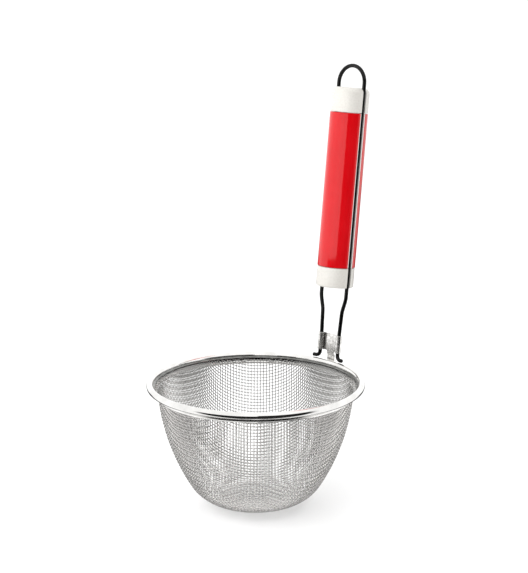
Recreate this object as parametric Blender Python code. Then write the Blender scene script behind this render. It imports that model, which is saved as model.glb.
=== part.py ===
"""A hand-held wire-mesh strainer: a pressed mesh bowl in a rolled rim, carried by a hairpin wire
handle with a grooved grip. The origin is the centre of the bowl's flat base, +Z is up, and the
handle rises at +Y, leaning outwards."""

import math

import bmesh
import bpy
from mathutils import Vector

MM = 0.001

# Bowl: a flat base, then a dome, a corner and a wall, each an arc tangent to the one before.
# A heading is the angle of the bowl's outline from the vertical.
CLOTH_THICKNESS = 0.8 * MM
BASE_RADIUS = 9.0 * MM
DOME_RADIUS = 60.0 * MM
CORNER_RADIUS = 27.5 * MM
WALL_RADIUS = 137.0 * MM
CORNER_END_HEADING = math.radians(31.6)
WALL_END_HEADING = math.radians(4.7)
WALL_TOP_RADIUS = 62.6 * MM

# Rim: the cloth flares out of the wall into a bead rolled round a core wire. The bead's strip
# grips the cloth between a lip on its inside and a collar on its outside.
RIM_OUTER_RADIUS = 70.0 * MM
BEAD_RADIUS = 2.2 * MM
STRIP_THICKNESS = 0.4 * MM
FLARE_RADIUS = 2.0 * MM
FLARE_HEADING = math.radians(55.0)
COLLAR_DROP = 0.9 * MM
LIP_LENGTH = 2.2 * MM
CORE_WIRE_RADIUS = 1.3 * MM

# Handle: everything on it is placed along an axis that starts at the bead's centre line.
HANDLE_LEAN = math.radians(6.1)
WIRE_RADIUS = 1.3 * MM
LEG_OFFSET = 11.15 * MM
LOOP_TOP = 198.8 * MM
GRIP_RADIUS = 12.6 * MM
GRIP_BORE_RADIUS = 7.5 * MM
GRIP_START = 66.3 * MM
GRIP_END = 168.2 * MM
BOTTOM_CAP_END = 52.7 * MM
TOP_CAP_END = 186.0 * MM
CAP_RADIUS = 12.5 * MM
TOP_CAP_ROUNDING = 4.0 * MM
BOTTOM_CAP_ROUNDING = 1.2 * MM
SPIGOT_LENGTH = 8.0 * MM

# Bracket: a sheet whose two edges are rolled round the legs, with a tab down behind the bead.
BRACKET_LEG_OFFSET = 8.0 * MM
BRACKET_BOTTOM = 8.2 * MM
BRACKET_TOP = 19.0 * MM
BRACKET_SHEET = 0.8 * MM
ROLL_SWEEP = math.radians(295.0)
TAB_HALF_WIDTH = 3.2 * MM
TAB_BEND_TOP = 7.0 * MM
TAB_BEND_BOTTOM = 5.2 * MM
TAB_END = -1.0 * MM

# Feet: below the bracket each leg bends outwards and lies along the top of the bead.
LEG_TAPER_START = 21.5 * MM
FOOT_LENGTH = 5.5 * MM
FOOT_BEND_RADIUS = 3.0 * MM
FOOT_ANGLE = math.radians(10.0)

GAP = 0.3 * MM
CUTTER_OVERRUN = 3.0 * MM
RING_SEGMENTS = 64
GRIP_SEGMENTS = 32
GROOVE_SEGMENTS = 16
SMOOTH_ANGLE = math.radians(35.0)

STEEL = ("polished_steel", (0.80, 0.80, 0.79), 0.12, 1.0)
CLOTH_STEEL = ("woven_steel", (0.68, 0.68, 0.67), 0.28, 1.0)
RED_PLASTIC = ("red_plastic", (0.86, 0.02, 0.03), 0.12, 0.0)
WHITE_PLASTIC = ("white_plastic", (0.93, 0.91, 0.86), 0.30, 0.0)


# ---------------------------------------------------------------- shared tools


def clear_scene():
    for old in list(bpy.data.objects):
        bpy.data.objects.remove(old)


def material(finish):
    """The Principled material of a finish: its name, colour, roughness and metallic value."""
    name, colour, roughness, metallic = finish
    made = bpy.data.materials.get(name) or bpy.data.materials.new(name)
    made.use_nodes = True
    shader = made.node_tree.nodes["Principled BSDF"].inputs
    shader["Base Color"].default_value = (*colour, 1.0)
    shader["Roughness"].default_value = roughness
    shader["Metallic"].default_value = metallic
    made.diffuse_color = (*colour, 1.0)
    return made


def add_object(name, data, finish=None, parent=None, location=(0, 0, 0), rotation=(0, 0, 0)):
    made = bpy.data.objects.new(name, data)
    made.parent = parent
    made.location = location
    made.rotation_euler = rotation
    if finish:
        made.data.materials.append(material(finish))
    bpy.context.scene.collection.objects.link(made)
    return made


def finished_mesh(name, bm):
    """Turns a bmesh into a mesh with its faces pointing out, smooth except at real edges."""
    bmesh.ops.recalc_face_normals(bm, faces=bm.faces)
    mesh = bpy.data.meshes.new(name)
    bm.to_mesh(mesh)
    bm.free()
    mesh.shade_smooth()
    mesh.set_sharp_from_angle(angle=SMOOTH_ANGLE)
    return mesh


def fractions(steps):
    return [i / steps for i in range(1, steps + 1)]


def circle_points(radius, start, end, steps, centre=(0.0, 0.0)):
    """Points along a circle from one angle to another, both ends included."""
    angles = [start + (end - start) * f for f in (0, *fractions(steps))]
    return [(centre[0] + radius * math.cos(a), centre[1] + radius * math.sin(a)) for a in angles]


def turned_mesh(name, profile, segments, ring=False):
    """Turns (radius, height) points about +Z. The profile of a ring closes on itself; any other
    starts and ends in a flat disc."""
    bm = bmesh.new()
    angles = [2 * math.pi * i / segments for i in range(segments)]
    loops = [[bm.verts.new((r * math.cos(a), r * math.sin(a), z)) for a in angles]
             for r, z in profile]
    pairs = list(zip(loops, loops[1:]))
    if ring:
        pairs.append((loops[-1], loops[0]))
    for lower, upper in pairs:
        for i in range(segments):
            j = (i + 1) % segments
            bm.faces.new((lower[i], lower[j], upper[j], upper[i]))
    if not ring:
        bm.faces.new(loops[0])
        bm.faces.new(loops[-1])
    return finished_mesh(name, bm)


# ---------------------------------------------------------------- outline of the bowl and rim


def go_straight(station, length):
    """A station is a radius, a height and the outline's heading there."""
    r, z, heading = station
    return (r + length * math.sin(heading), z + length * math.cos(heading), heading)


def go_round(station, radius, end_heading, steps):
    """The stations of an arc. A positive radius turns the outline upwards, a negative one out."""
    r, z, start = station
    headings = [start + (end_heading - start) * f for f in fractions(steps)]
    return [(r + radius * (math.cos(h) - math.cos(start)),
             z + radius * (math.sin(start) - math.sin(h)), h) for h in headings]


def beside(station, distance):
    """The point at a distance from the outline, on its outer side."""
    r, z, heading = station
    return (r + distance * math.cos(heading), z - distance * math.sin(heading))


def wall_stations():
    """The middle of the cloth from the edge of the flat base to the top of the wall."""
    corner_run = CORNER_RADIUS * math.cos(CORNER_END_HEADING)
    wall_run = WALL_RADIUS * (math.cos(WALL_END_HEADING) - math.cos(CORNER_END_HEADING))
    dome_run = WALL_TOP_RADIUS - BASE_RADIUS - corner_run - wall_run
    dome_end = math.acos(dome_run / (DOME_RADIUS - CORNER_RADIUS))
    stations = [(BASE_RADIUS, CLOTH_THICKNESS / 2, math.pi / 2)]
    stations += go_round(stations[-1], DOME_RADIUS, dome_end, 2)
    stations += go_round(stations[-1], CORNER_RADIUS, CORNER_END_HEADING, 5)
    stations += go_round(stations[-1], WALL_RADIUS, WALL_END_HEADING, 4)
    return stations


def flare_stations(wall_top):
    return go_round(wall_top, -FLARE_RADIUS, FLARE_HEADING, 3)


def bead_centre(flare_end):
    """Where the straight edge of the cloth, carried on, meets the bead's centre line."""
    reach = (RIM_OUTER_RADIUS - BEAD_RADIUS - flare_end[0]) / math.sin(FLARE_HEADING)
    return go_straight(flare_end, reach)


def bowl_profile(wall, flare, bead):
    """Up the outside of the cloth to its edge inside the bead, and back down the inside."""
    edge = go_straight(bead, -(CORE_WIRE_RADIUS + GAP))
    middle = wall + flare + [edge]
    outside = [beside(s, CLOTH_THICKNESS / 2) for s in middle]
    inside = [beside(s, -CLOTH_THICKNESS / 2) for s in reversed(middle)]
    return outside + inside


def strip_path(wall_top, flare, bead):
    """The middle of the strip's sheet, as stations: up the collar outside the cloth, round the
    bead, and down the lip inside the cloth."""
    reach = CLOTH_THICKNESS / 2 + GAP + STRIP_THICKNESS / 2
    radius = BEAD_RADIUS - STRIP_THICKNESS / 2
    mouth = math.asin(reach / radius)
    cloth = math.pi * 1.5 - FLARE_HEADING
    collar = [(*beside(s, reach), s[2]) for s in (go_straight(wall_top, -COLLAR_DROP), wall_top, *flare)]
    turns = [cloth + mouth + (2 * math.pi - 2 * mouth) * f for f in (0, *fractions(14))]
    curl = [(bead[0] + radius * math.cos(a), bead[1] + radius * math.sin(a), -a) for a in turns]
    lip_end = go_straight(bead, -(radius * math.cos(mouth) + LIP_LENGTH))
    lip = (*beside(lip_end, -reach), lip_end[2] + math.pi)
    return collar + curl + [lip]


def rim_profile(wall_top, flare, bead):
    """The section of the strip: its outer side up from the collar and over the bead, and its
    inner side back."""
    path = strip_path(wall_top, flare, bead)
    outside = [beside(s, STRIP_THICKNESS / 2) for s in path]
    inside = [beside(s, -STRIP_THICKNESS / 2) for s in reversed(path)]
    return [(r, z - bead[1]) for r, z in outside + inside]


def add_bowl_and_rim():
    """Adds the cloth, the strip and the core wire, and gives the bead's radius and height."""
    wall = wall_stations()
    flare = flare_stations(wall[-1])
    bead = bead_centre(flare[-1])
    at_bead = (0, 0, bead[1])
    core = circle_points(CORE_WIRE_RADIUS, 0, math.radians(315), 7, (bead[0], 0))
    bowl_mesh = turned_mesh("mesh_bowl", bowl_profile(wall, flare, bead), RING_SEGMENTS)
    rim_mesh = turned_mesh("rim_channel", rim_profile(wall[-1], flare, bead), RING_SEGMENTS, True)
    core_mesh = turned_mesh("rim_core_wire", core, RING_SEGMENTS, True)
    add_object("mesh_bowl", bowl_mesh, CLOTH_STEEL)
    add_object("rim_channel", rim_mesh, STEEL, location=at_bead)
    add_object("rim_core_wire", core_mesh, STEEL, location=at_bead)
    return bead[0], bead[1]


# ---------------------------------------------------------------- handle wire


def leg_offset(height):
    """Half the distance between the legs, which draw in smoothly from the grip to the bracket."""
    along = (height - LEG_TAPER_START) / (BOTTOM_CAP_END - LEG_TAPER_START)
    eased = along * along * (3 - 2 * along)
    return BRACKET_LEG_OFFSET + (LEG_OFFSET - BRACKET_LEG_OFFSET) * eased


def half_wire_path():
    """The middle of the wire from the end of one foot to the start of the loop."""
    up = Vector((0, 0, 1))
    outwards = Vector((math.cos(FOOT_ANGLE), -math.sin(FOOT_ANGLE), 0))
    heel = Vector((BRACKET_LEG_OFFSET, 0, BEAD_RADIUS + GAP + WIRE_RADIUS))
    path = [heel + outwards * FOOT_LENGTH, heel + outwards * FOOT_BEND_RADIUS]
    for f in fractions(5):
        turn = math.pi / 2 * f
        along = FOOT_BEND_RADIUS * (1 - math.sin(turn))
        path.append(heel + outwards * along + up * FOOT_BEND_RADIUS * (1 - math.cos(turn)))
    path.append(Vector((BRACKET_LEG_OFFSET, 0, LEG_TAPER_START)))
    for f in fractions(8):
        height = LEG_TAPER_START + (BOTTOM_CAP_END - LEG_TAPER_START) * f
        path.append(Vector((leg_offset(height), 0, height)))
    path.append(Vector((LEG_OFFSET, 0, LOOP_TOP - LEG_OFFSET)))
    return path


def wire_path():
    right = half_wire_path()
    left = [Vector((-p.x, p.y, p.z)) for p in reversed(right)]
    arch = circle_points(LEG_OFFSET, 0, math.pi, 16, (0, LOOP_TOP - LEG_OFFSET))
    return right + [Vector((x, 0, z)) for x, z in arch[1:-1]] + left


def add_handle_wire(handle):
    path = wire_path()
    curve = bpy.data.curves.new("handle_wire", "CURVE")
    curve.dimensions = "3D"
    curve.bevel_depth = WIRE_RADIUS
    curve.bevel_resolution = 2
    curve.use_fill_caps = True
    spline = curve.splines.new("POLY")
    spline.points.add(len(path) - 1)
    for point, place in zip(spline.points, path):
        point.co = (*place, 1.0)
        point.radius = 1.0
    add_object("handle_wire", curve, STEEL, handle)


# ---------------------------------------------------------------- grip


def add_groove_cutter(handle):
    """Two rods where the legs run, long enough to pass both caps. They aren't parts."""
    low = BOTTOM_CAP_END - CUTTER_OVERRUN
    high = TOP_CAP_END + CUTTER_OVERRUN
    bm = bmesh.new()
    for side in (-1, 1):
        made = bmesh.ops.create_cone(bm, cap_ends=True, segments=GROOVE_SEGMENTS,
                                     radius1=WIRE_RADIUS + GAP, radius2=WIRE_RADIUS + GAP,
                                     depth=high - low)
        middle = (side * LEG_OFFSET, 0, (low + high) / 2)
        bmesh.ops.translate(bm, verts=made["verts"], vec=middle)
    cutter = add_object("groove_cutter", finished_mesh("groove_cutter", bm), parent=handle)
    cutter.hide_render = True
    cutter.display_type = "WIRE"
    return cutter


def cut_grooves(piece, cutter):
    cut = piece.modifiers.new("leg_grooves", "BOOLEAN")
    cut.operation = "DIFFERENCE"
    cut.object = cutter


def cap_profile(height, rounding):
    """A cap standing on the end of the sleeve, with a spigot down into its bore."""
    spigot_radius = GRIP_BORE_RADIUS - GAP
    shoulder = circle_points(rounding, 0, math.pi / 2, 5, (CAP_RADIUS - rounding, height - rounding))
    return [(spigot_radius, -SPIGOT_LENGTH), (spigot_radius, GAP), (CAP_RADIUS, GAP), *shoulder]


def add_grip(handle):
    cutter = add_groove_cutter(handle)
    length = GRIP_END - GRIP_START
    tube = [(GRIP_BORE_RADIUS, 0), (GRIP_RADIUS, 0), (GRIP_RADIUS, length), (GRIP_BORE_RADIUS, length)]
    sleeve_mesh = turned_mesh("grip_sleeve", tube, GRIP_SEGMENTS, True)
    top_profile = cap_profile(TOP_CAP_END - GRIP_END, TOP_CAP_ROUNDING)
    top_mesh = turned_mesh("top_cap", top_profile, GRIP_SEGMENTS)
    bottom_profile = cap_profile(GRIP_START - BOTTOM_CAP_END, BOTTOM_CAP_ROUNDING)
    bottom_mesh = turned_mesh("bottom_cap", bottom_profile, GRIP_SEGMENTS)
    sleeve = add_object("grip_sleeve", sleeve_mesh, RED_PLASTIC, handle, (0, 0, GRIP_START))
    top = add_object("top_cap", top_mesh, WHITE_PLASTIC, handle, (0, 0, GRIP_END))
    bottom = add_object("bottom_cap", bottom_mesh, WHITE_PLASTIC, handle, (0, 0, GRIP_START),
                        (math.pi, 0, 0))
    for piece in (sleeve, top, bottom):
        cut_grooves(piece, cutter)


# ---------------------------------------------------------------- bracket


def rolled_edge():
    """The section of the sheet from the tab's edge out, round one leg and back."""
    near = WIRE_RADIUS + GAP
    far = near + BRACKET_SHEET
    leg = (BRACKET_LEG_OFFSET, 0)
    start, end = math.pi / 2, math.pi / 2 - ROLL_SWEEP
    outside = circle_points(far, start, end, 12, leg)
    inside = circle_points(near, end, start, 10, leg)
    return [(TAB_HALF_WIDTH, far), *outside, *inside, (TAB_HALF_WIDTH, near)]


def extrude_down(bm, face, step):
    """Extrudes a face by a step and gives the face at the new end."""
    made = bmesh.ops.extrude_discrete_faces(bm, faces=[face])["faces"][0]
    bmesh.ops.translate(bm, verts=made.verts, vec=step)
    return made


def add_bracket(handle):
    right = rolled_edge()
    left = [(-x, y) for x, y in reversed(right)]
    outline = right + left
    bm = bmesh.new()
    loops = [[bm.verts.new((x, y, z)) for x, y in outline] for z in (BRACKET_BOTTOM, BRACKET_TOP)]
    low, high = loops
    count = len(outline)
    half = len(right)
    for i in range(count):
        j = (i + 1) % count
        bm.faces.new((low[i], low[j], high[j], high[i]))
    for loop in loops:
        bm.faces.new(loop[:half])
        bm.faces.new(loop[half:])
    bm.faces.new((high[0], high[half - 1], high[half], high[-1]))
    tab = bm.faces.new((low[0], low[half - 1], low[half], low[-1]))
    behind_bead = BEAD_RADIUS + GAP - (WIRE_RADIUS + GAP)
    tab = extrude_down(bm, tab, (0, 0, TAB_BEND_TOP - BRACKET_BOTTOM))
    tab = extrude_down(bm, tab, (0, behind_bead, TAB_BEND_BOTTOM - TAB_BEND_TOP))
    extrude_down(bm, tab, (0, 0, TAB_END - TAB_BEND_BOTTOM))
    add_object("wire_bracket", finished_mesh("wire_bracket", bm), STEEL, handle)


def main():
    clear_scene()
    bead_radius, bead_height = add_bowl_and_rim()
    handle = add_object("handle_frame", None, location=(0, bead_radius, bead_height),
                        rotation=(-HANDLE_LEAN, 0, 0))
    add_handle_wire(handle)
    add_grip(handle)
    add_bracket(handle)


main()
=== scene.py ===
"""The looks of a hand-held wire-mesh strainer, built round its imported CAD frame: real woven wire
cloth, a rolled rim with its lap seam, a hairpin handle, a moulded grip and a sheet bracket."""

import math

import bmesh
import bpy
import numpy as np
from mathutils import Matrix, Vector


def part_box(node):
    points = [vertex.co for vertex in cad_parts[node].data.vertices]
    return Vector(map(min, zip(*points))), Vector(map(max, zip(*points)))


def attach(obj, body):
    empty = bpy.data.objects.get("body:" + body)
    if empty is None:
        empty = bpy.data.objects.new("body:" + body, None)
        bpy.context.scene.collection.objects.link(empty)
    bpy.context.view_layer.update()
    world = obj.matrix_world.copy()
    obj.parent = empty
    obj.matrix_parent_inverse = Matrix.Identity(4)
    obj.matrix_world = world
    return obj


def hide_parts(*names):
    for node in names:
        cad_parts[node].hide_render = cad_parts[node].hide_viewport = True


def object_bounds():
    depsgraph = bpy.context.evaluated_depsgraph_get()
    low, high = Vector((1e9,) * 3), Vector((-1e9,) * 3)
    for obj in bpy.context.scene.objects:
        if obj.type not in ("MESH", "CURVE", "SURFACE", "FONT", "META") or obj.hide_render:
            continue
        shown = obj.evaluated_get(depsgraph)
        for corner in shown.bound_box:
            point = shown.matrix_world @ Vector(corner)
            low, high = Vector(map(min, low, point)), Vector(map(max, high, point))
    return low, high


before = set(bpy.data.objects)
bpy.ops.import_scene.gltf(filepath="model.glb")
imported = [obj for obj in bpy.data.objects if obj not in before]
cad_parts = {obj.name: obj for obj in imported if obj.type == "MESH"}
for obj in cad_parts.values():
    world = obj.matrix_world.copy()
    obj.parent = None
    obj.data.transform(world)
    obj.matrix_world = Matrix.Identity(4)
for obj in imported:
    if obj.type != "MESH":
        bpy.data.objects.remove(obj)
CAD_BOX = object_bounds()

MM = 0.001
TAU = 2 * math.pi
RIGHT_ANGLE = math.pi / 2
TINY = 1e-9

# Camera: where it stands from a target on the bowl's axis, and how far it is turned off it.
TARGET_HEIGHT = 45.0 * MM
CAMERA_DISTANCE = 900.0 * MM
CAMERA_AZIMUTH = math.radians(46.0)
CAMERA_ELEVATION = math.radians(18.93)
AIM_RIGHT = math.radians(0.35)
AIM_UP = math.radians(6.15)
CAMERA_LENS = 86.85
CAMERA_SENSOR = 36.0

# Bowl outline, along the middle of the cloth. A heading is its angle from the vertical.
CLOTH_MIDDLE = 0.4 * MM
BASE_RADIUS = 9.0 * MM
DOME_RADIUS = 60.0 * MM
CORNER_RADIUS = 27.5 * MM
WALL_RADIUS = 137.0 * MM
CORNER_END_HEADING = math.radians(31.6)
WALL_END_HEADING = math.radians(4.7)
WALL_TOP_RADIUS = 62.6 * MM
FLARE_RADIUS = 2.0 * MM
FLARE_HEADING = math.radians(55.0)
FLARE_STEPS = 8
OUTLINE_STEP = 0.25 * MM
LEAST_ARC_STEPS = 4

# Cloth: plain weave. The wires keep their spacing while the weave shears over the bowl's corner.
# The search for each crossing runs for NEWTON_ROUNDS, in steps of at most NEWTON_LIMIT, and finds
# it if it ends within NEWTON_ERROR. LANE_MARGIN is the empty share at each side of a bake lane.
PITCH = 2.117 * MM
CLOTH_WIRE_RADIUS = 0.255 * MM
CRIMP = 0.24 * MM
CLOTH_TURN = math.radians(-45.0)
CLOTH_EDGE = 1.7 * MM
CLOTH_SIDES = 6
STEPS_PER_PITCH = 2
NEWTON_ROUNDS = 12
NEWTON_LIMIT = 0.6 * PITCH
NEWTON_ERROR = 0.01 * PITCH
NO_SLOPE = 1e-15
LANE_MARGIN = 0.1

# Rim strip, rolled round its core wire, with a collar outside the cloth and a lip inside it. The
# collar's stations are a radius, a height and a heading in degrees. The shares of the curl say
# where the lip and the seam begin, both painted dark as shade and dark reflection, and the shares
# of the thickness shape the strip's edges.
BEAD_RADIUS = 2.2 * MM
CORE_WIRE_RADIUS = 1.3 * MM
STRIP_THICKNESS = 0.4 * MM
STRIP_REACH = 0.9 * MM
COLLAR = ((64.50 * MM, 75.15 * MM, -30.0), (64.20 * MM, 75.65 * MM, -28.0),
          (63.98 * MM, 76.10 * MM, -16.0), (63.92 * MM, 76.32 * MM, 10.0))
CURL_STEPS = 56
LIP_SHARE = 0.955
LIP_LENGTH = 1.4 * MM
LIP_STEPS = 4
EDGE_REACH_SHARE = 0.4
EDGE_FLAT_SHARE = 0.3
RIM_SEGMENTS = 288
SEAM_SHARE = 0.92
SEAM_AZIMUTH = math.radians(117.0)
SEAM_HALF_LENGTH = 7.0 * MM
SEAM_THICKNESS = 0.8 * STRIP_THICKNESS
SEAM_LIFT = 0.2 * MM
SEAM_STEPS = 12
SEAM_END_DROP = 0.35 * SEAM_LIFT

# Handle, along an axis that starts at the bead's centre line.
HANDLE_LEAN = math.radians(6.1)
WIRE_RADIUS = 1.3 * MM
LEG_OFFSET = 11.15 * MM
LOOP_TOP = 198.8 * MM
GRIP_RADIUS = 12.6 * MM
TOP_CAP_ROUNDING = 3.5 * MM
BOTTOM_CAP_ROUNDING = 1.2 * MM
SLEEVE_ROUNDING = 0.35 * MM
GRIP_START = 66.3 * MM
GRIP_END = 168.2 * MM
BOTTOM_CAP_END = 52.7 * MM
TOP_CAP_END = 184.6 * MM
CAP_RADIUS = 12.5 * MM
GROOVE_RADIUS = 1.55 * MM
LINING_THICKNESS = 0.7 * MM
LINING_DEPTH = 0.3 * MM
GAP = 0.3 * MM
BRACKET_LEG_OFFSET = 8.0 * MM
BRACKET_BOTTOM = 8.2 * MM
BRACKET_TOP = 20.0 * MM
BRACKET_SHEET = 0.6 * MM
BRACKET_EDGE = 0.12 * MM
BRACKET_EDGE_SEGMENTS = 2
ROLL_SWEEP = math.radians(295.0)
ROLL_CLEARANCE = 0.1 * MM
TAB_HALF_WIDTH = 3.2 * MM
TAB_BEND_TOP = 7.0 * MM
TAB_BEND_BOTTOM = 5.2 * MM
TAB_END = -1.0 * MM
LEG_TAPER_START = 21.5 * MM
LEG_BEND_LOW = 34.0 * MM
LEG_BEND_HIGH = 47.0 * MM
LEG_BEND_OFFSET = 8.6 * MM
FOOT_LENGTH = 4.9 * MM
FOOT_BEND_RADIUS = 3.0 * MM
FOOT_ANGLE = math.radians(10.0)
WIRE_SIDES = 24
WIRE_END_SHARE = 0.25

# How finely the handle's curves are drawn, and the angles past which an edge looks sharp.
FOOT_BEND_STEPS = 12
TAPER_STEPS = 24
LEG_STEPS = 11
LOOP_STEPS = 48
OUTLINE_ARC_STEPS = 60
SLOT_STEPS = 16
SLEEVE_EDGE_STEPS = 4
TOP_CAP_EDGE_STEPS = 8
BOTTOM_CAP_EDGE_STEPS = 6
MOULDING_RINGS = 8
LINING_RINGS = 10
ROLL_STEPS = 32
SHARP_ANGLE = math.radians(40)
WIRE_SHARP_ANGLE = math.radians(50)

# Looks.
METAL = 1.0
PLASTIC = 0.0
EVEN = (1.0, 1.0, 1.0)
NOISE_RANGE = (0.3, 0.7)
CLOUD_DETAIL = 3.0
GRAIN_DETAIL = 5.0
BUMP_STRENGTH = 0.4
# The cloth's painted inside shade fades over this range of how far a wire's side faces out of the
# bowl.
INSIDE_SHADE_RANGE = (-0.5, 0.5)
WHITE = (1.0, 1.0, 1.0, 1.0)
PAPER_WHITE = (0.98, 0.98, 0.98, 1.0)
PAPER_ROUGHNESS = 0.9
PAPER_SPECULAR = 0.1

# Studio. The zones are angles from the camera's azimuth, and sines of heights above the horizon,
# each from where a zone begins to where it is full. The floor and the softbox are in metres, and
# the softbox's power is in watts.
GLOSSY_WHITE = 1.32
GLOSSY_DARK = 0.02
DIFFUSE_WHITE = 0.66
FRONT_TOP = (math.sin(math.radians(28)), math.sin(math.radians(20)))
FRONT_EDGE = (math.radians(68), math.radians(54))
FRONT_BOTTOM = (math.sin(math.radians(-88)), math.sin(math.radians(-78)))
SIDE_TOP = (math.sin(math.radians(-6)), math.sin(math.radians(-13)))
SIDE_START = (math.radians(130), math.radians(138))
SIDE_END = (math.radians(177), math.radians(170))
SIDE_SHARE = 0.95
FLOOR_SIZE = 60.0
OVERHEAD_POWER = 1.6
OVERHEAD_ANGLE = math.radians(80)
SOFTBOX_TURN = math.radians(-66)
SOFTBOX_ELEVATION = math.radians(20)
SOFTBOX_DISTANCE = 1.2
SOFTBOX_SIZE = 1.8
SOFTBOX_POWER = 14.0
CARD_TURNS = (math.radians(-62), math.radians(-8))
CARD_DISTANCE = 350.0 * MM
CARD_HEIGHTS = (106.0 * MM, 350.0 * MM)
CARD_POINTS = 12


# ---------------------------------------------------------------- meshes


def quad_mesh(name, points, quads):
    """A smooth mesh from arrays of points and quads."""
    mesh = bpy.data.meshes.new(name)
    mesh.vertices.add(len(points))
    mesh.vertices.foreach_set("co", np.asarray(points, np.float32).ravel())
    mesh.loops.add(quads.size)
    mesh.loops.foreach_set("vertex_index", quads.ravel().astype(np.int32))
    mesh.polygons.add(len(quads))
    mesh.polygons.foreach_set("loop_start", np.arange(0, quads.size, 4, dtype=np.int32))
    mesh.update(calc_edges=True)
    mesh.validate()
    mesh.shade_smooth()
    return mesh


def grid_quads(rows, columns, close_rows=False, close_columns=False):
    """The quads of a grid of points stored row by row."""
    r = np.arange(rows if close_rows else rows - 1)
    c = np.arange(columns if close_columns else columns - 1)
    r, c = np.meshgrid(r, c, indexing="ij")
    below, right = (r + 1) % rows, (c + 1) % columns
    quads = np.stack([r * columns + c, r * columns + right,
                      below * columns + right, below * columns + c], -1)
    return quads.reshape(-1, 4)


def put_in_scene(name, data):
    made = bpy.data.objects.new(name, data)
    bpy.context.scene.collection.objects.link(made)
    return made


def add_piece(name, mesh, look, replaces=(), place=None):
    """Adds a finished mesh as a piece that rides on the body."""
    mesh.materials.append(look)
    piece = put_in_scene(name, mesh)
    if place is not None:
        piece.matrix_world = place
    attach(piece, "root")
    if replaces:
        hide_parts(*replaces)
    return piece


def circle_points(radius, start, end, steps, centre=(0.0, 0.0)):
    """Points along an arc, both ends included."""
    angles = np.linspace(start, end, steps + 1)
    return [(centre[0] + radius * math.cos(a), centre[1] + radius * math.sin(a)) for a in angles]


def turned(profile, segments):
    """A closed section of (radius, height) points turned about +Z."""
    profile = np.array(profile)
    angles = np.arange(segments) * TAU / segments
    points = np.stack([np.outer(np.cos(angles), profile[:, 0]),
                       np.outer(np.sin(angles), profile[:, 0]),
                       np.tile(profile[:, 1], (segments, 1))], -1)
    return points.reshape(-1, 3), grid_quads(segments, len(profile), True, True)


def close_ends(mesh, rows, columns):
    """Closes the two ends of a tube stored row by row."""
    bm = bmesh.new()
    bm.from_mesh(mesh)
    bm.verts.ensure_lookup_table()
    bm.faces.new([bm.verts[i] for i in range(columns)])
    bm.faces.new([bm.verts[(rows - 1) * columns + i] for i in range(columns)])
    bmesh.ops.recalc_face_normals(bm, faces=bm.faces)
    bm.to_mesh(mesh)
    bm.free()


def rings_of(across, out, turns):
    """Unit circles, one for each pair of crossed directions along a wire."""
    cosine, sine = np.cos(turns)[None, :, None], np.sin(turns)[None, :, None]
    return across[:, None] * cosine + out[:, None] * sine


def tube_mesh(name, path, radius, sides):
    """A round wire along a path, with closed ends that are slightly drawn in."""
    path = np.array([tuple(p) for p in path])
    along = np.gradient(path, axis=0)
    along /= np.linalg.norm(along, axis=1)[:, None]
    side = np.cross(along, (0.0, 1.0, 0.0))
    side /= np.linalg.norm(side, axis=1)[:, None]
    up = np.cross(side, along)
    end = WIRE_END_SHARE * radius
    path = np.vstack([path[0] - along[0] * end, path, path[-1] + along[-1] * end])
    side = np.vstack([side[0], side, side[-1]])
    up = np.vstack([up[0], up, up[-1]])
    size = np.r_[radius - end, np.full(len(path) - 2, radius), radius - end]
    around = rings_of(side, up, np.arange(sides) * TAU / sides)
    points = path[:, None] + around * size[:, None, None]
    mesh = quad_mesh(name, points.reshape(-1, 3), grid_quads(len(path), sides, False, True))
    close_ends(mesh, len(path), sides)
    mesh.set_sharp_from_angle(angle=WIRE_SHARP_ANGLE)
    return mesh


def lofted_mesh(name, outline, rings):
    """An outline carried along +Z through rings of (height, how far it is drawn in)."""
    outline = np.array(outline)
    reach = np.linalg.norm(outline, axis=1).max()
    rows = [np.column_stack([outline * (1 - inset / reach), np.full(len(outline), height)])
            for height, inset in rings]
    mesh = quad_mesh(name, np.vstack(rows), grid_quads(len(rings), len(outline), False, True))
    close_ends(mesh, len(rings), len(outline))
    mesh.set_sharp_from_angle(angle=SHARP_ANGLE)
    return mesh


# ---------------------------------------------------------------- outline of the bowl


def go_straight(station, length):
    """The station at a length further along its own heading."""
    r, z, heading = station
    return (r + length * math.sin(heading), z + length * math.cos(heading), heading)


def go_round(station, radius, end_heading, steps):
    """The stations of an arc. A positive radius turns the outline upwards, a negative one out."""
    r, z, start = station
    headings = np.linspace(start, end_heading, steps + 1)[1:]
    return [(r + radius * (math.cos(h) - math.cos(start)),
             z + radius * (math.sin(start) - math.sin(h)), float(h)) for h in headings]


def steps_of(radius, start, end):
    return max(LEAST_ARC_STEPS, round(abs(radius * (end - start)) / OUTLINE_STEP))


def beside(station, distance):
    """The point at a distance from the outline, on its outer side."""
    r, z, heading = station
    return (r + distance * math.cos(heading), z - distance * math.sin(heading))


def wall_stations():
    """The outline from the flat base to the top of the wall: a dome, a corner and a long arc. The
    dome ends where the corner has to start for the wall to reach its top radius."""
    corner_run = CORNER_RADIUS * math.cos(CORNER_END_HEADING)
    wall_run = WALL_RADIUS * (math.cos(WALL_END_HEADING) - math.cos(CORNER_END_HEADING))
    dome_run = WALL_TOP_RADIUS - BASE_RADIUS - corner_run - wall_run
    dome_end = math.acos(dome_run / (DOME_RADIUS - CORNER_RADIUS))
    base_steps = round(BASE_RADIUS / OUTLINE_STEP)
    stations = [(i * OUTLINE_STEP, CLOTH_MIDDLE, RIGHT_ANGLE) for i in range(base_steps + 1)]
    for radius, end in ((DOME_RADIUS, dome_end), (CORNER_RADIUS, CORNER_END_HEADING),
                        (WALL_RADIUS, WALL_END_HEADING)):
        stations += go_round(stations[-1], radius, end, steps_of(radius, stations[-1][2], end))
    return stations


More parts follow.
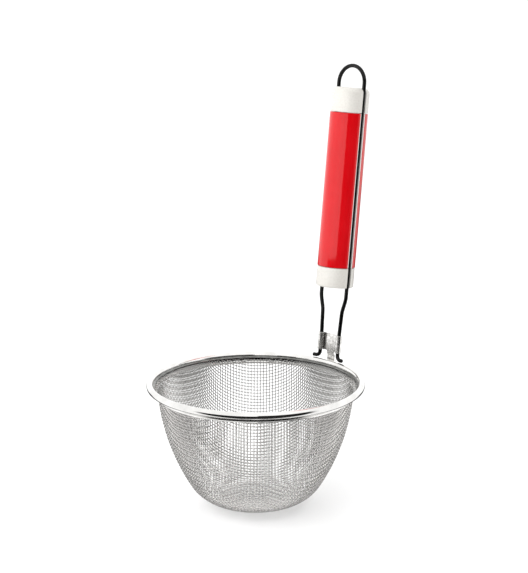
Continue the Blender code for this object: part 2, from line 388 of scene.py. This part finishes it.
WALL = wall_stations()
FLARE = go_round(WALL[-1], -FLARE_RADIUS, FLARE_HEADING, FLARE_STEPS)
CORE_LOW, CORE_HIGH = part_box("rim_core_wire")
BEAD_CENTRE = (CORE_HIGH.x - CORE_WIRE_RADIUS, (CORE_LOW.z + CORE_HIGH.z) / 2)
BEAD = (*BEAD_CENTRE, FLARE_HEADING)


# ---------------------------------------------------------------- woven cloth


class Surface:
    """The bowl as a surface: places on it by the way up from the middle and the angle round."""

    def __init__(self):
        reach = (BEAD[0] - FLARE[-1][0]) / math.sin(FLARE_HEADING) - CLOTH_EDGE
        count = round(reach / OUTLINE_STEP)
        edge = [go_straight(FLARE[-1], reach * i / count) for i in range(1, count + 1)]
        self.stations = np.array(WALL + FLARE + edge)
        steps = np.hypot(*np.diff(self.stations[:, :2], axis=0).T)
        self.way = np.r_[0, np.cumsum(steps)]

    def at(self, way, angle):
        """The points, radii and headings at some ways and angles."""
        r, z, heading = (np.interp(way, self.way, self.stations[:, k]) for k in range(3))
        return np.stack([r * np.cos(angle), r * np.sin(angle), z], -1), r, heading

    def nearest_way(self, points):
        """The way of the station nearest to each point."""
        radius = np.hypot(points[:, 0], points[:, 1])
        off = (self.stations[None, :, 0] - radius[:, None]) ** 2
        off += (self.stations[None, :, 1] - points[:, 2:3]) ** 2
        return self.way[off.argmin(1)]

    def fourth_corner(self, a, b, guess):
        """The point on the surface one pitch from both a and b, on the far side from their
        common neighbour, by Newton's method on the way and the angle."""
        way = self.nearest_way(guess)
        angle = np.arctan2(guess[:, 1], guess[:, 0])
        for _ in range(NEWTON_ROUNDS):
            here, r, heading = self.at(way, angle)
            up = np.stack([np.sin(heading) * np.cos(angle), np.sin(heading) * np.sin(angle),
                           np.cos(heading)], -1)
            round_it = np.stack([-r * np.sin(angle), r * np.cos(angle), 0 * r], -1)
            miss_a = ((here - a) ** 2).sum(1) - PITCH ** 2
            miss_b = ((here - b) ** 2).sum(1) - PITCH ** 2
            a_up, a_round = 2 * ((here - a) * up).sum(1), 2 * ((here - a) * round_it).sum(1)
            b_up, b_round = 2 * ((here - b) * up).sum(1), 2 * ((here - b) * round_it).sum(1)
            det = a_up * b_round - a_round * b_up
            det = np.where(np.abs(det) > NO_SLOPE, det, 1.0)
            way_step = (a_round * miss_b - b_round * miss_a) / det
            angle_step = (b_up * miss_a - a_up * miss_b) / det
            way = way + np.clip(way_step, -NEWTON_LIMIT, NEWTON_LIMIT)
            reach = NEWTON_LIMIT / np.maximum(r, MM)
            angle = angle + np.clip(angle_step, -reach, reach)
        here = self.at(way, angle)[0]
        error = np.abs(np.linalg.norm(here - a, axis=1) - PITCH)
        error += np.abs(np.linalg.norm(here - b, axis=1) - PITCH)
        return here, way, error < NEWTON_ERROR


def quarter_net(surface):
    """The crossings of one quarter of the cloth, as [i, j] points with NaN beyond the edge, and
    the way up from the middle at each."""
    count = int(surface.way[-1] / PITCH) + 1
    net = np.full((count, count, 3), np.nan)
    ways = np.full((count, count), np.nan)
    along = np.arange(count) * PITCH
    net[:, 0] = surface.at(along, 0 * along)[0]
    net[0] = surface.at(along, 0 * along + RIGHT_ANGLE)[0]
    ways[:, 0] = ways[0] = along
    for total in range(2, 2 * count - 1):
        i = np.arange(max(1, total - count + 1), min(total, count))
        j = total - i
        known = np.isfinite(ways[i - 1, j] + ways[i, j - 1] + ways[i - 1, j - 1])
        i, j = i[known], j[known]
        if not len(i):
            break
        a, b, c = net[i - 1, j], net[i, j - 1], net[i - 1, j - 1]
        here, way, found = surface.fourth_corner(a, b, a + b - c)
        found &= way <= surface.way[-1]
        net[i[found], j[found]] = here[found]
        ways[i[found], j[found]] = way[found]
    return net, ways


def normals_at(surface, points, ways):
    """The outward normals of the surface at points on it."""
    heading = np.interp(ways, surface.way, surface.stations[:, 2])
    radius = np.maximum(np.hypot(points[..., 0], points[..., 1]), TINY)
    x, y = points[..., 0] / radius, points[..., 1] / radius
    return np.stack([np.cos(heading) * x, np.cos(heading) * y, -np.sin(heading)], -1)


def wire_nodes(net, ways, surface, index):
    """The crossings, normals and sides of one wire right across the bowl, its index signed."""
    row = abs(index)
    last = int(np.isfinite(ways[row]).sum()) - 1
    steps = np.arange(-last, last + 1)
    points = net[row, np.abs(steps)].copy()
    points[:, 0] *= -1 if index < 0 else 1
    points[:, 1] *= np.where(steps < 0, -1, 1)
    normals = normals_at(surface, points, ways[row, np.abs(steps)])
    side = np.where((steps + index) % 2 == 0, 1.0, -1.0)
    return points, normals, side


def wire_line(points, normals, side):
    """A wire's middle line through its crossings, over and under, with normals to go with it."""
    count = (len(points) - 1) * STEPS_PER_PITCH + 1
    at = np.arange(count) / STEPS_PER_PITCH
    nodes = np.arange(len(points))
    line = np.stack([np.interp(at, nodes, points[:, k]) for k in range(3)], -1)
    normal = np.stack([np.interp(at, nodes, normals[:, k]) for k in range(3)], -1)
    normal /= np.linalg.norm(normal, axis=1)[:, None]
    wave = side[0] * np.cos(math.pi * at)
    return line + normal * (CRIMP * wave)[:, None], normal


def wire_tube(line, normal):
    """The points of a wire's surface, ring after ring."""
    along = np.gradient(line, axis=0)
    along /= np.linalg.norm(along, axis=1)[:, None]
    across = np.cross(along, normal)
    across /= np.linalg.norm(across, axis=1)[:, None]
    out = np.cross(across, along)
    around = rings_of(across, out, (np.arange(CLOTH_SIDES) + 0.5) * TAU / CLOTH_SIDES)
    return (line[:, None] + CLOTH_WIRE_RADIUS * around).reshape(-1, 3)


def strip_uv(rings, lane, lanes):
    """The bake layout of one wire: a strip as wide as the map, in a lane of its own."""
    u = np.arange(rings) / (rings - 1)
    used = 1 - 2 * LANE_MARGIN
    v = (lane + LANE_MARGIN + used * np.arange(CLOTH_SIDES + 1) / CLOTH_SIDES) / lanes
    r, c = np.meshgrid(np.arange(rings - 1), np.arange(CLOTH_SIDES), indexing="ij")
    r, c = r.ravel(), c.ravel()
    corners = [(u[r], v[c]), (u[r], v[c + 1]), (u[r + 1], v[c + 1]), (u[r + 1], v[c])]
    return np.stack([np.stack(corner, -1) for corner in corners], 1).reshape(-1, 2)


def cloth_mesh(name, surface, net, ways, indices, crosswise):
    """The wires of some indices as one mesh. Crosswise wires run the other way of the weave."""
    turn = np.array(Matrix.Rotation(CLOTH_TURN, 3, "Z"))
    points, quads, uvs, start = [], [], [], 0
    for lane, index in enumerate(indices):
        nodes, normals, side = wire_nodes(net, ways, surface, index)
        if crosswise:
            nodes, normals, side = nodes[:, [1, 0, 2]], normals[:, [1, 0, 2]], -side
        line, normal = wire_line(nodes, normals, side)
        tube = wire_tube(line, normal) @ turn.T
        points.append(tube)
        quads.append(grid_quads(len(line), CLOTH_SIDES, False, True) + start)
        uvs.append(strip_uv(len(line), lane, len(indices)))
        start += len(tube)
    mesh = quad_mesh(name, np.vstack(points), np.vstack(quads))
    layer = mesh.uv_layers.new(name="OFBake")
    layer.data.foreach_set("uv", np.vstack(uvs).astype(np.float32).ravel())
    return mesh


def add_cloth(look):
    """The warp and the weft, each as two pieces that meet on the middle of the bowl."""
    surface = Surface()
    net, ways = quarter_net(surface)
    most = int(np.isfinite(ways[:, 0]).sum()) - 2
    below, above = range(-most, 0), range(0, most + 1)
    parts = [("cloth_warp_left", below, False), ("cloth_warp_right", above, False),
             ("cloth_weft_front", below, True), ("cloth_weft_back", above, True)]
    for name, indices, crosswise in parts:
        mesh = cloth_mesh(name, surface, net, ways, indices, crosswise)
        add_piece(name, mesh, look, ["mesh_bowl"])


# ---------------------------------------------------------------- rim


def strip_path():
    """The middle of the strip's sheet as stations: up the collar, round the bead, down the lip."""
    radius = BEAD_RADIUS - STRIP_THICKNESS / 2
    mouth = math.asin(STRIP_REACH / radius)
    entry = 3 * RIGHT_ANGLE - FLARE_HEADING
    collar = [(r, z, math.radians(heading)) for r, z, heading in COLLAR]
    collar.append((*beside(FLARE[-1], STRIP_REACH), FLARE_HEADING))
    turns = np.linspace(entry + mouth, entry + TAU - mouth, CURL_STEPS + 1)
    curl = [(BEAD[0] + radius * math.cos(a), BEAD[1] + radius * math.sin(a), -a) for a in turns]
    lip = []
    for step in range(1, LIP_STEPS + 1):
        end = go_straight(BEAD, -(radius * math.cos(mouth) + LIP_LENGTH * step / LIP_STEPS))
        lip.append((*beside(end, -STRIP_REACH), end[2] + math.pi))
    return collar, curl, lip


def strip_section(path, thickness):
    """A closed section round a path, its two edges rounded over."""
    outside = [beside(s, thickness / 2) for s in path]
    inside = [beside(s, -thickness / 2) for s in reversed(path)]
    tip = go_straight(path[-1], thickness * EDGE_REACH_SHARE)
    tail = go_straight(path[0], -thickness * EDGE_REACH_SHARE)
    flat = thickness * EDGE_FLAT_SHARE
    ends = [beside(tip, flat), beside(tip, -flat)]
    starts = [beside(tail, -flat), beside(tail, flat)]
    return outside + ends + inside + starts


def add_rim(look, painted_dark_look):
    """The strip as two pieces that share a station of the curl: the band, and the lip, painted
    darker as shade and dark reflection.
    """
    collar, curl, lip = strip_path()
    split = round(len(curl) * LIP_SHARE)
    parts = (("rim_band", collar + curl[:split + 1], look),
             ("rim_lip", curl[split:] + lip, painted_dark_look))
    for name, path, metal in parts:
        points, quads = turned(strip_section(path, STRIP_THICKNESS), RIM_SEGMENTS)
        mesh = quad_mesh(name, points, quads)
        add_piece(name, mesh, metal, ["rim_channel"])


def add_seam(look):
    """Where the strip's two ends overlap: a short second layer over the end of the curl and the
    lip, drawn in a little at its own two ends."""
    _, curl, lip = strip_path()
    start = round(len(curl) * SEAM_SHARE)
    path = [(*beside(s, SEAM_LIFT), s[2]) for s in curl[start:] + lip]
    section = np.array(strip_section(path, SEAM_THICKNESS))
    half = SEAM_HALF_LENGTH / BEAD[0]
    angles = SEAM_AZIMUTH + np.linspace(-half, half, SEAM_STEPS + 1)
    drop = np.zeros(len(angles))
    drop[[0, -1]] = SEAM_END_DROP
    middle = section.mean(0)
    rows = []
    for angle, low in zip(angles, drop):
        shrunk = section + (middle - section) * (low / BEAD_RADIUS)
        rows.append(np.stack([shrunk[:, 0] * math.cos(angle), shrunk[:, 0] * math.sin(angle),
                              shrunk[:, 1]], -1))
    mesh = quad_mesh("rim_seam", np.vstack(rows), grid_quads(len(rows), len(section), False, True))
    close_ends(mesh, len(rows), len(section))
    mesh.set_sharp_from_angle(angle=SHARP_ANGLE)
    # The seam takes the lip's steel, painted dark as shade and dark reflection.
    add_piece("rim_seam", mesh, look)


# ---------------------------------------------------------------- handle


HANDLE = (Matrix.Translation((0, BEAD_CENTRE[0], BEAD_CENTRE[1]))
          @ Matrix.Rotation(-HANDLE_LEAN, 4, "X"))


def leg_offset(height):
    """Half the distance between the legs: nearly straight up from the bracket, then a bend out."""
    low = np.clip((height - LEG_TAPER_START) / (LEG_BEND_LOW - LEG_TAPER_START), 0, 1)
    high = np.clip((height - LEG_BEND_LOW) / (LEG_BEND_HIGH - LEG_BEND_LOW), 0, 1)
    eased = high * high * (3 - 2 * high)
    straight = BRACKET_LEG_OFFSET + (LEG_BEND_OFFSET - BRACKET_LEG_OFFSET) * low
    return straight + (LEG_OFFSET - LEG_BEND_OFFSET) * eased


def half_wire_path():
    """The middle of the wire from the end of one foot to the start of the loop."""
    up = Vector((0, 0, 1))
    outwards = Vector((math.cos(FOOT_ANGLE), -math.sin(FOOT_ANGLE), 0))
    heel = Vector((BRACKET_LEG_OFFSET, 0, BEAD_RADIUS + GAP + WIRE_RADIUS))
    path = [heel + outwards * FOOT_LENGTH, heel + outwards * FOOT_BEND_RADIUS]
    for turn in np.linspace(0, RIGHT_ANGLE, FOOT_BEND_STEPS + 1)[1:]:
        along = FOOT_BEND_RADIUS * (1 - math.sin(turn))
        path.append(heel + outwards * along + up * FOOT_BEND_RADIUS * (1 - math.cos(turn)))
    path.append(Vector((BRACKET_LEG_OFFSET, 0, LEG_TAPER_START)))
    for height in np.linspace(LEG_TAPER_START, BOTTOM_CAP_END, TAPER_STEPS + 1)[1:]:
        path.append(Vector((leg_offset(height), 0, height)))
    for height in np.linspace(BOTTOM_CAP_END, LOOP_TOP - LEG_OFFSET, LEG_STEPS + 1)[1:]:
        path.append(Vector((LEG_OFFSET, 0, height)))
    return path


def add_handle_wire(look):
    right = half_wire_path()
    left = [Vector((-p.x, p.y, p.z)) for p in reversed(right)]
    arch = circle_points(LEG_OFFSET, 0, math.pi, LOOP_STEPS, (0, LOOP_TOP - LEG_OFFSET))
    path = right + [Vector((x, 0, z)) for x, z in arch[1:-1]] + left
    mesh = tube_mesh("handle_hairpin", path, WIRE_RADIUS, WIRE_SIDES)
    add_piece("handle_hairpin", mesh, look, ["handle_wire"], HANDLE)


def grooved_outline(radius, slot):
    """A round outline with a straight-sided, round-bottomed slot on each side for a leg. The slot
    is given as half its width."""
    mouth = math.asin(slot / radius)
    arc = circle_points(radius, mouth, math.pi - mouth, OUTLINE_ARC_STEPS)
    bay = circle_points(slot, RIGHT_ANGLE, -RIGHT_ANGLE, SLOT_STEPS, (-LEG_OFFSET, 0))
    half = arc + bay
    return half + [(-x, -y) for x, y in half]


def lining_outline():
    """The section of one slot's lining: a U round the leg, open outwards."""
    mouth = math.sqrt(GRIP_RADIUS ** 2 - GROOVE_RADIUS ** 2) - LINING_DEPTH
    outer = GROOVE_RADIUS + LINING_THICKNESS
    start, end, leg = RIGHT_ANGLE, 3 * RIGHT_ANGLE, (LEG_OFFSET, 0)
    inside = circle_points(GROOVE_RADIUS, start, end, SLOT_STEPS, leg)
    outside = circle_points(outer, end, start, SLOT_STEPS, leg)
    return ([(mouth, GROOVE_RADIUS)] + inside + [(mouth, -GROOVE_RADIUS), (mouth, -outer)]
            + outside + [(mouth, outer)])


def edge_rings(edge, radius, inwards, steps):
    """Rings of a rounded edge: heights going from the end face to the full outline."""
    rings = []
    for a in np.linspace(0, RIGHT_ANGLE, steps + 1):
        rings.append((edge + inwards * radius * (1 - math.cos(a)), radius * (1 - math.sin(a))))
    return rings


def moulding(name, radius, slot, span, roundings, steps):
    """A round bar with a slot on each side, from one height to another, its two edges rounded."""
    low = edge_rings(span[0], roundings[0], 1, steps)
    high = edge_rings(span[1], roundings[1], -1, steps)
    middle = [(h, 0.0) for h in np.linspace(low[-1][0], high[-1][0], MOULDING_RINGS)[1:-1]]
    return lofted_mesh(name, grooved_outline(radius, slot), low + middle + high[::-1])


def add_lining(look, name, side):
    """The white core of the grip, where a slot in the red sleeve lays it bare. Its white is painted
    brighter than the caps' white: a painted highlight along the slot.
    """
    outline = [(side * x, side * y) for x, y in lining_outline()]
    rings = [(h, 0.0) for h in np.linspace(GRIP_START, GRIP_END, LINING_RINGS)]
    mesh = lofted_mesh("lining_" + name, outline, rings)
    add_piece("core_in_slot_" + name, mesh, look, ["grip_sleeve"], HANDLE)


def add_grip(red, white, core):
    sleeve = moulding("sleeve", GRIP_RADIUS, GROOVE_RADIUS + LINING_THICKNESS,
                      (GRIP_START, GRIP_END), (SLEEVE_ROUNDING, SLEEVE_ROUNDING),
                      SLEEVE_EDGE_STEPS)
    top = moulding("top_end", CAP_RADIUS, GROOVE_RADIUS, (GRIP_END + GAP, TOP_CAP_END),
                   (SLEEVE_ROUNDING, TOP_CAP_ROUNDING), TOP_CAP_EDGE_STEPS)
    bottom = moulding("bottom_end", CAP_RADIUS, GROOVE_RADIUS, (BOTTOM_CAP_END, GRIP_START - GAP),
                      (BOTTOM_CAP_ROUNDING, SLEEVE_ROUNDING), BOTTOM_CAP_EDGE_STEPS)
    add_lining(core, "right", 1)
    add_lining(core, "left", -1)
    add_piece("grip_moulding", sleeve, red, ["grip_sleeve"], HANDLE)
    add_piece("top_cap_moulding", top, white, ["top_cap"], HANDLE)
    add_piece("bottom_cap_moulding", bottom, white, ["bottom_cap"], HANDLE)


# ---------------------------------------------------------------- bracket


def bracket_section():
    """The two halves of the plate's section, each rolled round its leg."""
    near = WIRE_RADIUS + ROLL_CLEARANCE
    far = near + BRACKET_SHEET
    leg = (BRACKET_LEG_OFFSET, 0)
    start, end = RIGHT_ANGLE, RIGHT_ANGLE - ROLL_SWEEP
    outside = circle_points(far, start, end, ROLL_STEPS, leg)
    inside = circle_points(near, end, start, ROLL_STEPS, leg)
    right = [(TAB_HALF_WIDTH, far), *outside, *inside, (TAB_HALF_WIDTH, near)]
    left = [(-x, y) for x, y in reversed(right)]
    return right, left


def add_bracket(look):
    """The plate between the legs, with a tab that steps outwards and goes down behind the rim."""
    right, left = bracket_section()
    outline = right + left
    half = len(right)
    bm = bmesh.new()
    low, high = ([bm.verts.new((x, y, z)) for x, y in outline]
                 for z in (BRACKET_BOTTOM, BRACKET_TOP))
    for i in range(len(outline)):
        j = (i + 1) % len(outline)
        bm.faces.new((low[i], low[j], high[j], high[i]))
    for loop in (low, high):
        bm.faces.new(loop[:half])
        bm.faces.new(loop[half:])
    bm.faces.new((high[0], high[half - 1], high[half], high[-1]))
    tab = bm.faces.new((low[0], low[half - 1], low[half], low[-1]))
    behind_bead = BEAD_RADIUS - WIRE_RADIUS
    for step in ((0, 0, TAB_BEND_TOP - BRACKET_BOTTOM),
                 (0, behind_bead, TAB_BEND_BOTTOM - TAB_BEND_TOP),
                 (0, 0, TAB_END - TAB_BEND_BOTTOM)):
        tab = bmesh.ops.extrude_discrete_faces(bm, faces=[tab])["faces"][0]
        bmesh.ops.translate(bm, verts=tab.verts, vec=step)
    bmesh.ops.recalc_face_normals(bm, faces=bm.faces)
    mesh = bpy.data.meshes.new("bracket_sheet")
    bm.to_mesh(mesh)
    bm.free()
    piece = add_piece("bracket_sheet", mesh, look, ["wire_bracket"], HANDLE)
    soften = piece.modifiers.new("edges", "BEVEL")
    soften.width = BRACKET_EDGE
    soften.segments = BRACKET_EDGE_SEGMENTS
    soften.limit_method = "ANGLE"
    soften.angle_limit = SHARP_ANGLE
    mesh.shade_smooth()
    mesh.set_sharp_from_angle(angle=SHARP_ANGLE)


# ---------------------------------------------------------------- materials


def new_material(name):
    made = bpy.data.materials.new(name)
    made.use_nodes = True
    return made, made.node_tree.nodes, made.node_tree.links


def feed(links, socket, value):
    """Links a socket to another one, or sets it to a plain value."""
    if isinstance(value, bpy.types.NodeSocket):
        links.new(value, socket)
    else:
        socket.default_value = value


def noise(nodes, links, scale, detail, stretch=EVEN):
    """Noise in the object's own coordinates, its scale in features to the metre."""
    place = nodes.new("ShaderNodeTexCoord")
    mapping = nodes.new("ShaderNodeMapping")
    mapping.inputs["Scale"].default_value = stretch
    made = nodes.new("ShaderNodeTexNoise")
    made.inputs["Scale"].default_value = scale
    made.inputs["Detail"].default_value = detail
    links.new(place.outputs["Object"], mapping.inputs["Vector"])
    links.new(mapping.outputs["Vector"], made.inputs["Vector"])
    return made.outputs["Fac"]


def ranged(nodes, links, value, source, target=(0.0, 1.0), smooth=False):
    """Carries a value from one range to another, held at the ends."""
    made = nodes.new("ShaderNodeMapRange")
    made.interpolation_type = "SMOOTHSTEP" if smooth else "LINEAR"
    for name, number in zip(("From Min", "From Max", "To Min", "To Max"), (*source, *target)):
        made.inputs[name].default_value = number
    links.new(value, made.inputs["Value"])
    return made.outputs["Result"]


def mixed(nodes, links, data_type, factor, low, high):
    """Mixes two numbers (FLOAT) or two colours (RGBA)."""
    made = nodes.new("ShaderNodeMix")
    made.data_type = data_type
    for name, value in (("Factor", factor), ("A", low), ("B", high)):
        feed(links, made.inputs[name], value)
    return made.outputs["Result"]


def bump(nodes, links, height, distance):
    made = nodes.new("ShaderNodeBump")
    made.inputs["Strength"].default_value = BUMP_STRENGTH
    made.inputs["Distance"].default_value = distance
    links.new(height, made.inputs["Height"])
    return made.outputs["Normal"]


def finished(name, dark, light, roughness, metallic, cloud, grain, grain_height, stretch=EVEN):
    """A material whose colour drifts in soft clouds and whose gloss and surface follow a grain."""
    made, nodes, links = new_material(name)
    shader = nodes["Principled BSDF"]
    shader.inputs["Metallic"].default_value = metallic
    clouds = noise(nodes, links, cloud, CLOUD_DETAIL)
    grains = noise(nodes, links, grain, GRAIN_DETAIL, stretch)
    drift = ranged(nodes, links, clouds, NOISE_RANGE)
    colour = mixed(nodes, links, "RGBA", drift, (*dark, 1.0), (*light, 1.0))
    links.new(colour, shader.inputs["Base Color"])
    links.new(ranged(nodes, links, grains, NOISE_RANGE, roughness), shader.inputs["Roughness"])
    links.new(bump(nodes, links, grains, grain_height), shader.inputs["Normal"])
    return made


def paint_shade_inside(made, inner):
    """Painted shade: makes the side of the wires that faces into the bowl darker than the side that
    faces out.
    """
    nodes, links = made.node_tree.nodes, made.node_tree.links
    shader = nodes["Principled BSDF"]
    outer = shader.inputs["Base Color"].links[0].from_socket
    place = nodes.new("ShaderNodeTexCoord")
    flat = nodes.new("ShaderNodeVectorMath")
    flat.operation = "MULTIPLY"
    flat.inputs[1].default_value = (1.0, 1.0, 0.0)
    outwards = nodes.new("ShaderNodeVectorMath")
    outwards.operation = "NORMALIZE"
    facing = nodes.new("ShaderNodeVectorMath")
    facing.operation = "DOT_PRODUCT"
    links.new(place.outputs["Object"], flat.inputs[0])
    links.new(flat.outputs["Vector"], outwards.inputs[0])
    links.new(outwards.outputs["Vector"], facing.inputs[0])
    links.new(place.outputs["Normal"], facing.inputs[1])
    share = ranged(nodes, links, facing.outputs["Value"], INSIDE_SHADE_RANGE)
    colour = mixed(nodes, links, "RGBA", share, (*inner, 1.0), outer)
    links.new(colour, shader.inputs["Base Color"])


def looks():
    steel = finished("rim_steel", dark=(0.68, 0.675, 0.66), light=(0.82, 0.81, 0.795),
                     roughness=(0.04, 0.12), metallic=METAL,
                     cloud=90, grain=2600, grain_height=0.004 * MM)
    # Painted shade and reflection: the rim's own steel, painted dark for the inner lip and the
    # seam.
    lip = finished("lip_steel_painted_dark", dark=(0.12, 0.12, 0.115), light=(0.24, 0.24, 0.23),
                   roughness=(0.10, 0.22), metallic=METAL,
                   cloud=260, grain=2200, grain_height=0.006 * MM)
    # Painted reflection: the handle wire's polished steel is painted near-black to stand in for its
    # dark reflections.
    wire = finished("wire_painted_dark", dark=(0.015, 0.015, 0.015), light=(0.03, 0.03, 0.03),
                    roughness=(0.08, 0.16), metallic=METAL,
                    cloud=120, grain=1800, grain_height=0.006 * MM, stretch=(1.0, 1.0, 0.08))
    sheet = finished("bracket_steel", dark=(0.54, 0.53, 0.51), light=(0.92, 0.91, 0.89),
                     roughness=(0.10, 0.28), metallic=METAL,
                     cloud=420, grain=1500, grain_height=0.02 * MM)
    cloth = finished("cloth_steel", dark=(0.87, 0.85, 0.83), light=(0.98, 0.96, 0.94),
                     roughness=(0.06, 0.16), metallic=METAL,
                     cloud=60, grain=3000, grain_height=0.004 * MM)
    # Painted shade: the cloth's wires are darker on the side that faces into the bowl.
    paint_shade_inside(cloth, inner=(0.39, 0.39, 0.38))
    red = finished("red_gloss", dark=(0.54, 0.001, 0.004), light=(0.59, 0.003, 0.007),
                   roughness=(0.06, 0.14), metallic=PLASTIC,
                   cloud=60, grain=900, grain_height=0.006 * MM, stretch=(1.0, 1.0, 0.3))
    white = finished("white_moulded", dark=(0.62, 0.60, 0.56), light=(0.65, 0.63, 0.59),
                     roughness=(0.22, 0.34), metallic=PLASTIC,
                     cloud=80, grain=1200, grain_height=0.01 * MM)
    # Painted highlight: the core's white is painted brighter than the caps' so that it shows as a
    # light line in the shaded slot.
    core = finished("core_white_painted_bright", dark=(0.88, 0.86, 0.82), light=(0.92, 0.90, 0.86),
                    roughness=(0.30, 0.45), metallic=PLASTIC,
                    cloud=80, grain=1200, grain_height=0.01 * MM)
    return steel, lip, wire, sheet, cloth, red, white, core


# ---------------------------------------------------------------- studio


def direction(azimuth, elevation):
    """The unit vector from the origin at an azimuth, turned from -Y, and an elevation."""
    level = math.cos(elevation)
    return Vector((math.sin(azimuth) * level, -math.cos(azimuth) * level, math.sin(elevation)))


def add_camera():
    """Stands the camera off the bowl's axis and turns it up and right from its target."""
    back = direction(CAMERA_AZIMUTH, CAMERA_ELEVATION)
    right = direction(CAMERA_AZIMUTH + RIGHT_ANGLE, 0.0)
    up = back.cross(right)
    aim = -back * math.cos(AIM_UP) + up * math.sin(AIM_UP)
    aim = aim * math.cos(AIM_RIGHT) + right * math.sin(AIM_RIGHT)
    data = bpy.data.cameras.new("camera")
    data.lens = CAMERA_LENS
    data.sensor_width = CAMERA_SENSOR
    camera = put_in_scene("camera", data)
    camera.location = Vector((0, 0, TARGET_HEIGHT)) + back * CAMERA_DISTANCE
    camera.rotation_euler = aim.to_track_quat("-Z", "Y").to_euler()
    bpy.context.scene.camera = camera


def math_node(nodes, links, operation, *values):
    made = nodes.new("ShaderNodeMath")
    made.operation = operation
    for socket, value in zip(made.inputs, values):
        feed(links, socket, value)
    return made.outputs["Value"]


def dark_zone(nodes, links, edges):
    """1 where every edge of a zone is passed, falling smoothly to 0 across each of them."""
    inside = 1.0
    for value, edge in edges:
        passed = ranged(nodes, links, value, edge, smooth=True)
        inside = math_node(nodes, links, "MULTIPLY", inside, passed)
    return inside


def add_world():
    """A white room. Polished surfaces also see dark zones: a wide one in front, from a little
    above the horizon down, and a narrow one on each side behind, below the horizon. Diffuse
    surfaces see the room dimmer, because the lights light them."""
    world = bpy.data.worlds.new("studio")
    bpy.context.scene.world = world
    world.use_nodes = True
    nodes, links = world.node_tree.nodes, world.node_tree.links
    background = nodes["Background"]
    place = nodes.new("ShaderNodeTexCoord")
    turn = nodes.new("ShaderNodeVectorRotate")
    turn.rotation_type = "Z_AXIS"
    turn.inputs["Angle"].default_value = RIGHT_ANGLE - CAMERA_AZIMUTH
    links.new(place.outputs["Generated"], turn.inputs["Vector"])
    parts = nodes.new("ShaderNodeSeparateXYZ")
    links.new(turn.outputs["Vector"], parts.inputs["Vector"])
    height = parts.outputs["Z"]
    azimuth = math_node(nodes, links, "ARCTAN2", parts.outputs["Y"], parts.outputs["X"])
    off = math_node(nodes, links, "ABSOLUTE", azimuth)
    front_edges = ((height, FRONT_TOP), (off, FRONT_EDGE), (height, FRONT_BOTTOM))
    side_edges = ((height, SIDE_TOP), (off, SIDE_START), (off, SIDE_END))
    front = dark_zone(nodes, links, front_edges)
    side = dark_zone(nodes, links, side_edges)
    side = math_node(nodes, links, "MULTIPLY", side, SIDE_SHARE)
    dark = math_node(nodes, links, "MAXIMUM", front, side)
    glossy = math_node(nodes, links, "MULTIPLY_ADD", dark, GLOSSY_DARK - GLOSSY_WHITE, GLOSSY_WHITE)
    rays = nodes.new("ShaderNodeLightPath")
    seen = mixed(nodes, links, "FLOAT", rays.outputs["Is Diffuse Ray"], 1.0, DIFFUSE_WHITE)
    light = mixed(nodes, links, "FLOAT", rays.outputs["Is Glossy Ray"], seen, glossy)
    links.new(light, background.inputs["Strength"])
    background.inputs["Color"].default_value = WHITE


def add_reflector_card():
    """A white card curved round the handle, for the glossy red plastic to reflect. It shows only
    in reflections: it lights no matt surface, casts no shadow and is hidden from the camera."""
    middle = HANDLE @ Vector((0, 0, (GRIP_START + GRIP_END) / 2))
    points = []
    for turn in np.linspace(*CARD_TURNS, CARD_POINTS):
        edge = middle + direction(CAMERA_AZIMUTH + turn, 0.0) * CARD_DISTANCE
        points += [(edge.x, edge.y, height) for height in CARD_HEIGHTS]
    card = put_in_scene("reflector_card", quad_mesh("card", points, grid_quads(CARD_POINTS, 2)))
    made, nodes, links = new_material("card_white")
    glow = nodes.new("ShaderNodeEmission")
    glow.inputs["Strength"].default_value = GLOSSY_WHITE
    links.new(glow.outputs["Emission"], nodes["Material Output"].inputs["Surface"])
    card.data.materials.append(made)
    card.visible_camera = False
    card.visible_diffuse = False
    card.visible_shadow = False


def add_floor(level):
    """A wide sheet of white paper under the object. Polished surfaces don't see it."""
    mesh = bpy.data.meshes.new("floor")
    half = FLOOR_SIZE / 2
    mesh.from_pydata([(-half, -half, 0), (half, -half, 0), (half, half, 0), (-half, half, 0)],
                     [], [(0, 1, 2, 3)])
    floor = put_in_scene("floor", mesh)
    floor.location.z = level
    made, nodes, _ = new_material("floor_paper")
    shader = nodes["Principled BSDF"]
    shader.inputs["Base Color"].default_value = PAPER_WHITE
    shader.inputs["Roughness"].default_value = PAPER_ROUGHNESS
    shader.inputs["Specular IOR Level"].default_value = PAPER_SPECULAR
    mesh.materials.append(made)
    floor.visible_glossy = False


def add_left_softbox():
    """A round lamp to the camera's left, aimed at the origin. Polished surfaces don't see it."""
    data = bpy.data.lights.new("left_softbox", "AREA")
    data.shape = "DISK"
    data.size = SOFTBOX_SIZE
    data.energy = SOFTBOX_POWER
    lamp = put_in_scene("left_softbox", data)
    back = direction(CAMERA_AZIMUTH + SOFTBOX_TURN, SOFTBOX_ELEVATION)
    lamp.location = back * SOFTBOX_DISTANCE
    lamp.rotation_euler = (-back).to_track_quat("-Z", "Y").to_euler()
    lamp.visible_glossy = False


def add_overhead_light():
    """A very wide light straight above, even over the whole floor."""
    data = bpy.data.lights.new("overhead_light", "SUN")
    data.energy = OVERHEAD_POWER
    data.angle = OVERHEAD_ANGLE
    lamp = put_in_scene("overhead_light", data)
    lamp.visible_glossy = False


def add_studio(level):
    add_world()
    add_floor(level)
    add_overhead_light()
    add_left_softbox()
    add_reflector_card()
    bpy.context.scene.view_settings.view_transform = "Standard"


steel, lip_steel_painted_dark, wire, sheet, cloth, red, white, core_white_painted_bright = looks()
add_camera()
add_cloth(cloth)
add_rim(steel, lip_steel_painted_dark)
add_seam(lip_steel_painted_dark)
add_handle_wire(wire)
add_grip(red, white, core_white_painted_bright)
add_bracket(sheet)
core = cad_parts["rim_core_wire"]
# The rim's core wire takes the handle wire's painted-dark steel.
core.material_slots[0].material = wire
add_studio(CAD_BOX[0].z)
